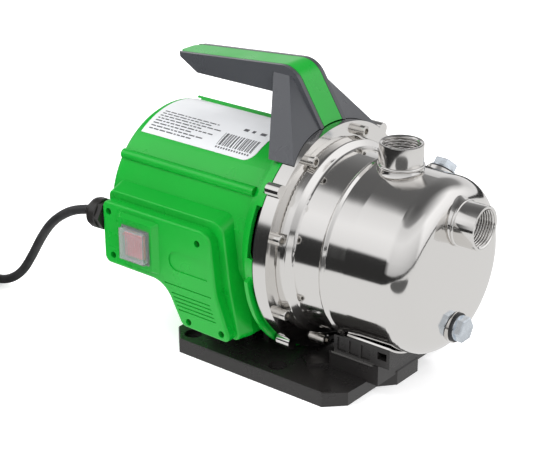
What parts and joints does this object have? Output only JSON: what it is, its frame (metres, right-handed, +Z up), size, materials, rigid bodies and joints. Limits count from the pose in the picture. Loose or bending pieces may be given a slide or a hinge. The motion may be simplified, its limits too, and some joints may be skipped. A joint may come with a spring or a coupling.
{
  "type": "shallow well jet pump",
  "caption": "Self-priming garden jet pump: polished steel casing with top and front threaded ports, green motor housing with side switch box, carrying handle and base plate.",
  "frame": {"origin": "on the floor under the motor shaft, in the front plane of the casing flange", "axes": "+X along the shaft towards the suction port, +Z up along the discharge port, switch box on the -Y side"},
  "size_m": [0.575, 0.3092, 0.2563],
  "materials": {
    "polished_steel": "mirror polished stainless sheet",
    "steel_hardware": "bright stainless",
    "zinc_plated": "blue zinc plated",
    "green_plastic": "semi gloss moulded plastic",
    "black_plastic": "fine satin moulded plastic",
    "handle_plastic": "satin moulded plastic",
    "clear_boot": "clear soft plastic",
    "red_plastic": "moulded",
    "label_film": "printed satin film",
    "black_rubber": "smooth rubber",
    "motor_iron": "laminated electrical steel",
    "copper_winding": "varnished copper wire",
    "bearing_steel": "ground",
    "bracket_alloy": "black painted die casting",
    "inner_plastic": "glass filled plastic",
    "brass": "turned",
    "seal_ceramic": "ground"
  },
  "bodies": {
    "pump": {"base_plate": "black_plastic", "casing_cradle": "black_plastic", "casing_foot": "polished_steel", "casing_shell": "polished_steel", "discharge_socket": "steel_hardware", "suction_socket": "steel_hardware", "casing_gasket": "black_rubber", "pressure_plate": "polished_steel", "motor_bracket": "bracket_alloy", "flange_bolts": "steel_hardware", "ear_nuts": "steel_hardware", "seal_seat": "seal_ceramic", "guide_wheel": "inner_plastic", "ejector_body": "inner_plastic", "ejector_nozzle": "brass", "front_bearing": "bearing_steel", "rear_bearing": "bearing_steel", "rear_bracket": "bracket_alloy", "stator_core": "motor_iron", "stator_windings": "copper_winding", "motor_housing": "green_plastic", "motor_collar": "green_plastic", "fan_cover": "green_plastic", "box_cover": "green_plastic", "cover_screws": "steel_hardware", "switch_body": "black_plastic", "switch_boot": "clear_boot", "run_capacitor": "inner_plastic", "terminal_block": "inner_plastic", "gland_body": "black_plastic", "gland_nut": "black_plastic", "mains_cable": "black_rubber", "cable_coil": "black_rubber", "mains_plug": "black_rubber", "handle_body": "handle_plastic", "handle_inlay": "green_plastic", "rating_label": "label_film", "base_screws": "zinc_plated"},
    "rotor": {"shaft": "bearing_steel", "rotor_core": "motor_iron", "cooling_fan": "inner_plastic", "impeller": "brass", "impeller_nut": "steel_hardware", "seal_rotary": "black_rubber"},
    "switch_rocker_body": {"switch_rocker": "red_plastic"},
    "filler_washer": {"filler_seal": "black_rubber"},
    "filler_screw": {"filler_plug": "zinc_plated"},
    "drain_washer": {"drain_seal": "black_rubber"},
    "drain_screw": {"drain_plug": "zinc_plated"}
  },
  "joints": [
    {"name": "rotor_spin", "type": "hinge", "parent": "pump", "child": "rotor", "pos_m": [0, 0, 0.112], "axis": [1, 0, 0], "continuous": true},
    {"name": "rocker_tilt", "type": "hinge", "parent": "pump", "child": "switch_rocker_body", "pos_m": [-0.1385, -0.1015, 0.1], "axis": [1, 0, 0], "range_deg": [-16, 0]},
    {"name": "filler_advance", "type": "slide", "parent": "pump", "child": "filler_washer", "axis": [0, 0.7071, 0.7071], "range_m": [0, 0.0094]},
    {"name": "filler_turn", "type": "hinge", "parent": "filler_washer", "child": "filler_screw", "pos_m": [0.065, 0.05551, 0.16751], "axis": [0, 0.7071, 0.7071], "range_deg": [0, 2520]},
    {"name": "drain_advance", "type": "slide", "parent": "pump", "child": "drain_washer", "axis": [1, 0, 0], "range_m": [0, 0.0094]},
    {"name": "drain_turn", "type": "hinge", "parent": "drain_washer", "child": "drain_screw", "pos_m": [0.1208, 0, 0.0625], "axis": [1, 0, 0], "range_deg": [0, 2520]}
  ],
  "couplings": [
    {"joint": "filler_advance", "follows": "filler_turn", "m_per_rad": 0.00021279},
    {"joint": "drain_advance", "follows": "drain_turn", "m_per_rad": 0.00021279}
  ]
}
